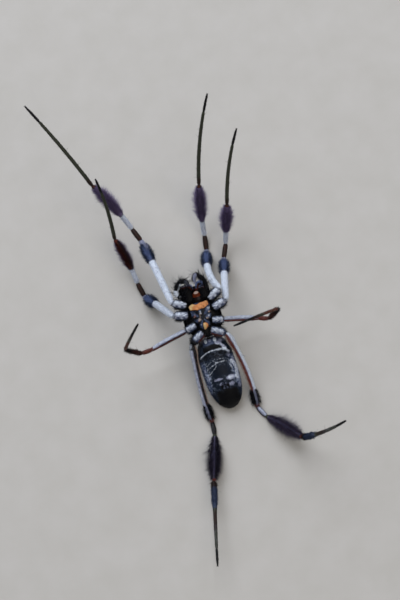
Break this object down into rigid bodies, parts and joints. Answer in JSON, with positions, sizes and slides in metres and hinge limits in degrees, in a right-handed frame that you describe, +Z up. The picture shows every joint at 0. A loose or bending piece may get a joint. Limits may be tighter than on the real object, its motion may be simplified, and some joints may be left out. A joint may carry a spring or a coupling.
{
  "type": "golden silk orb weaver spider",
  "caption": "Life-size long-legged orb weaver lying on its back, legs spread with black hair tufts, slim grey-black abdomen and an orange band across the breastplate.",
  "frame": {"origin": "on the floor, under the middle of the bounding box", "axes": "+Z up, out of the belly; +Y towards the head, along the longest extent; +X towards the spider's left"},
  "size_m": [0.042, 0.0962, 0.028],
  "materials": {
    "silver_shell": "dark shell under short silver hairs",
    "breastplate": "dark glossy plate with an orange front band and pale hairs",
    "amber_cuticle": "translucent red-brown cuticle, glossy",
    "black_cuticle": "black glossy cuticle with scattered bristles",
    "coxa_cuticle": "black cuticle with silver-white hair on the belly side",
    "leg_cuticle": "banded white, red-brown and black cuticle",
    "abdomen_skin": "soft dark skin with silvery flecks and lines",
    "hair_white": "short silvery hairs",
    "hair_black": "blue-black bristles",
    "eye_lens": "polished black lens"
  },
  "bodies": {
    "root": {"carapace": "silver_shell", "sternum": "breastplate", "labium": "amber_cuticle", "maxilla_right": "black_cuticle", "maxilla_left": "black_cuticle", "chelicera_right": "black_cuticle", "chelicera_left": "black_cuticle", "fang_right": "amber_cuticle", "fang_left": "amber_cuticle", "palp_right": "black_cuticle", "palp_left": "black_cuticle", "eye_right_front_inner": "eye_lens", "eye_left_front_inner": "eye_lens", "eye_right_front_outer": "eye_lens", "eye_left_front_outer": "eye_lens", "eye_right_rear_inner": "eye_lens", "eye_left_rear_inner": "eye_lens", "eye_right_rear_outer": "eye_lens", "eye_left_rear_outer": "eye_lens", "pedicel": "black_cuticle", "abdomen": "abdomen_skin", "spinnerets": "abdomen_skin", "leg_right_1_coxa": "coxa_cuticle", "leg_right_1_femur": "leg_cuticle", "leg_right_1_tibia": "leg_cuticle", "leg_right_1_foot": "leg_cuticle", "leg_left_1_coxa": "coxa_cuticle", "leg_left_1_femur": "leg_cuticle", "leg_left_1_tibia": "leg_cuticle", "leg_left_1_foot": "leg_cuticle", "leg_right_2_coxa": "coxa_cuticle", "leg_right_2_femur": "leg_cuticle", "leg_right_2_tibia": "leg_cuticle", "leg_right_2_foot": "leg_cuticle", "leg_left_2_coxa": "coxa_cuticle", "leg_left_2_femur": "leg_cuticle", "leg_left_2_tibia": "leg_cuticle", "leg_left_2_foot": "leg_cuticle", "leg_right_3_coxa": "coxa_cuticle", "leg_right_3_femur": "leg_cuticle", "leg_right_3_tibia": "leg_cuticle", "leg_right_3_foot": "leg_cuticle", "leg_left_3_coxa": "coxa_cuticle", "leg_left_3_femur": "leg_cuticle", "leg_left_3_tibia": "leg_cuticle", "leg_left_3_foot": "leg_cuticle", "leg_right_4_coxa": "coxa_cuticle", "leg_right_4_femur": "leg_cuticle", "leg_right_4_tibia": "leg_cuticle", "leg_right_4_foot": "leg_cuticle", "leg_left_4_coxa": "coxa_cuticle", "leg_left_4_femur": "leg_cuticle", "leg_left_4_tibia": "leg_cuticle", "leg_left_4_foot": "leg_cuticle"}
  },
  "joints": []
}
